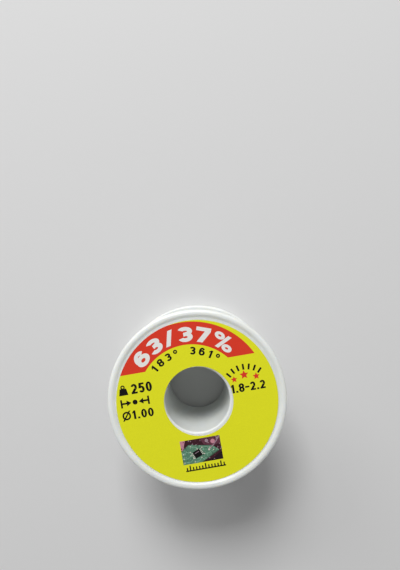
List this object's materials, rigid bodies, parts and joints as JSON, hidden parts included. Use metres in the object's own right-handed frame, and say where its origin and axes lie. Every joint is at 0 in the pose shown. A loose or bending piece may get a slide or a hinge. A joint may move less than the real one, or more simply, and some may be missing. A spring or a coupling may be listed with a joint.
{
  "type": "solder wire spool",
  "caption": "White plastic spool with raised flange rims, a central bore and a yellow ring label, wound with solder wire between its flanges.",
  "frame": {"origin": "centre of the bore in the plane of the rear rim, on which the spool lies", "axes": "+Z along the spool's axis from the rear flange to the labelled front flange, +Y towards the top of the label"},
  "size_m": [0.058, 0.058, 0.037],
  "materials": {
    "spool_plastic": "semi-gloss white injection-moulded polystyrene",
    "label_paper": "coated yellow paper, printed in red, white and black",
    "solder": "drawn tin-lead solder wire, bright grey"
  },
  "bodies": {
    "root": {"front_half": "spool_plastic", "rear_half": "spool_plastic", "front_label": "label_paper", "solder_inner_layers": "solder", "solder_outer_turns": "solder", "solder_start_end": "solder", "solder_finish_end": "solder"}
  },
  "joints": []
}
